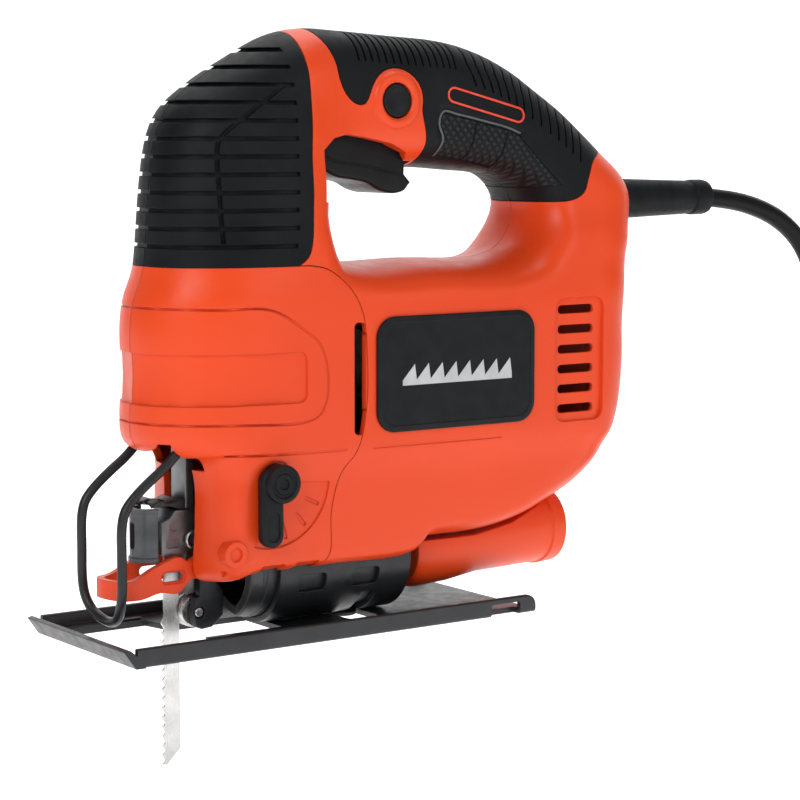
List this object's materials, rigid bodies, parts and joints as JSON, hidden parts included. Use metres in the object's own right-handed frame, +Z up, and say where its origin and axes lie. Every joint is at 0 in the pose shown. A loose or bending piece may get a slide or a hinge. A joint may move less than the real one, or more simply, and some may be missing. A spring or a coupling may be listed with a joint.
{
  "type": "corded jigsaw",
  "caption": "Corded D-handle jigsaw with a reciprocating blade in a quick clamp, pendulum roller, selector lever, trigger, tilting steel shoe, wire guard and a wound mains cord.",
  "frame": {"origin": "centre of the flat sole of the shoe, on the tool's middle plane", "axes": "-X toward the front of the tool, where the blade is; +X toward the cord; -Y the tool's left side; +Z up from the work. The blade and the cord reach below the sole."},
  "size_m": [0.455, 0.114, 0.256],
  "materials": {
    "orange_plastic": "fine-grained moulded nylon, semi-gloss",
    "black_rubber": "soft overmoulded elastomer, matt",
    "black_plastic": "moulded nylon, satin",
    "blackened_steel": "black oxide and powder coat",
    "bright_steel": "ground steel",
    "copper": "turned copper segments",
    "laminated_iron": "stacked sheet iron",
    "zinc_casting": "die-cast, slightly rough",
    "brass": "plain brass",
    "cord_sheath": "extruded cable sheath, matt"
  },
  "bodies": {
    "body": {"housing_left": "orange_plastic", "housing_right": "orange_plastic", "nose_cover_left": "orange_plastic", "nose_cover_right": "orange_plastic", "nose_grip_left": "black_rubber", "nose_grip_right": "black_rubber", "handle_grip_left": "black_rubber", "handle_grip_right": "black_rubber", "housing_screw_1": "blackened_steel", "housing_screw_2": "blackened_steel", "housing_screw_3": "blackened_steel", "housing_screw_4": "blackened_steel", "dust_duct": "orange_plastic", "badge_left": "black_plastic", "badge_right": "black_plastic", "motor_field": "laminated_iron", "front_bearing": "bright_steel", "rear_bearing": "bright_steel", "bearing_plate": "zinc_casting", "rear_bearing_carrier": "black_plastic", "brush_holder_left": "brass", "brush_holder_right": "brass", "gear_axle": "bright_steel", "lower_guide": "brass", "upper_guide": "brass", "arm_pivot_pin": "bright_steel", "bevel_barrel": "zinc_casting", "bevel_screw": "blackened_steel", "wire_guard": "blackened_steel", "switch_body": "black_plastic", "cable_boot": "black_rubber", "cord_lead": "cord_sheath", "cord_coil": "cord_sheath", "cord_tie": "black_plastic", "plug_body": "cord_sheath", "plug_blade_1": "brass", "plug_blade_2": "brass"},
    "rotor": {"armature_shaft": "bright_steel", "armature_core": "laminated_iron", "commutator": "copper", "fan": "black_plastic", "pinion": "bright_steel"},
    "gear": {"drive_gear": "bright_steel", "crank_pin": "bright_steel"},
    "plunger": {"plunger": "zinc_casting", "yoke": "bright_steel", "clamp_body": "blackened_steel", "clamp_shield": "blackened_steel", "clamp_spring": "blackened_steel", "clamp_pivot_pin": "bright_steel", "blade": "bright_steel"},
    "clamp_lever": {"clamp_lever": "orange_plastic"},
    "roller_arm": {"roller_arm": "black_plastic", "roller_axle": "bright_steel"},
    "roller": {"guide_roller": "blackened_steel"},
    "orbit_lever": {"orbit_lever": "black_plastic"},
    "trigger": {"trigger": "black_plastic"},
    "lock_button": {"lock_button": "black_plastic"},
    "shoe": {"shoe_plate": "blackened_steel", "bevel_cradle": "blackened_steel"}
  },
  "joints": [
    {"name": "armature_spin", "type": "hinge", "parent": "body", "child": "rotor", "pos_m": [0.02, 0, 0.08], "axis": [1, 0, 0], "continuous": true},
    {"name": "gear_spin", "type": "hinge", "parent": "body", "child": "gear", "pos_m": [-0.03, 0, 0.1038], "axis": [1, 0, 0], "continuous": true},
    {"name": "plunger_slide", "type": "slide", "parent": "body", "child": "plunger", "axis": [0, 0, 1], "range_m": [0, 0.018]},
    {"name": "clamp_lever_pivot", "type": "hinge", "parent": "plunger", "child": "clamp_lever", "pos_m": [-0.0446, 0, 0.026], "axis": [0, 1, 0], "range_deg": [0, 30], "stiffness_Nm_per_rad": 0.02, "springref_deg": -17.19},
    {"name": "roller_arm_pivot", "type": "hinge", "parent": "body", "child": "roller_arm", "pos_m": [-0.0394, 0, 0.052], "axis": [0, -1, 0], "range_deg": [0, 3.5]},
    {"name": "roller_spin", "type": "hinge", "parent": "roller_arm", "child": "roller", "pos_m": [-0.0429, 0, 0.0095], "axis": [0, 1, 0], "continuous": true},
    {"name": "orbit_lever_turn", "type": "hinge", "parent": "body", "child": "orbit_lever", "pos_m": [-0.0267, -0.033, 0.0562], "axis": [0, -1, 0], "range_deg": [0, 90]},
    {"name": "trigger_pull", "type": "slide", "parent": "body", "child": "trigger", "axis": [0, 0, 1], "range_m": [0, 0.004], "stiffness_N_per_m": 800, "springref_m": -0.003},
    {"name": "lock_button_push", "type": "slide", "parent": "body", "child": "lock_button", "axis": [0, 1, 0], "range_m": [0, 0.003], "stiffness_N_per_m": 400, "springref_m": -0.002},
    {"name": "shoe_tilt", "type": "hinge", "parent": "body", "child": "shoe", "pos_m": [0.0085, 0, 0.0235], "axis": [1, 0, 0], "range_deg": [-45, 45]}
  ],
  "couplings": [
    {"joint": "gear_spin", "follows": "armature_spin", "ratio": -0.23684}
  ]
}
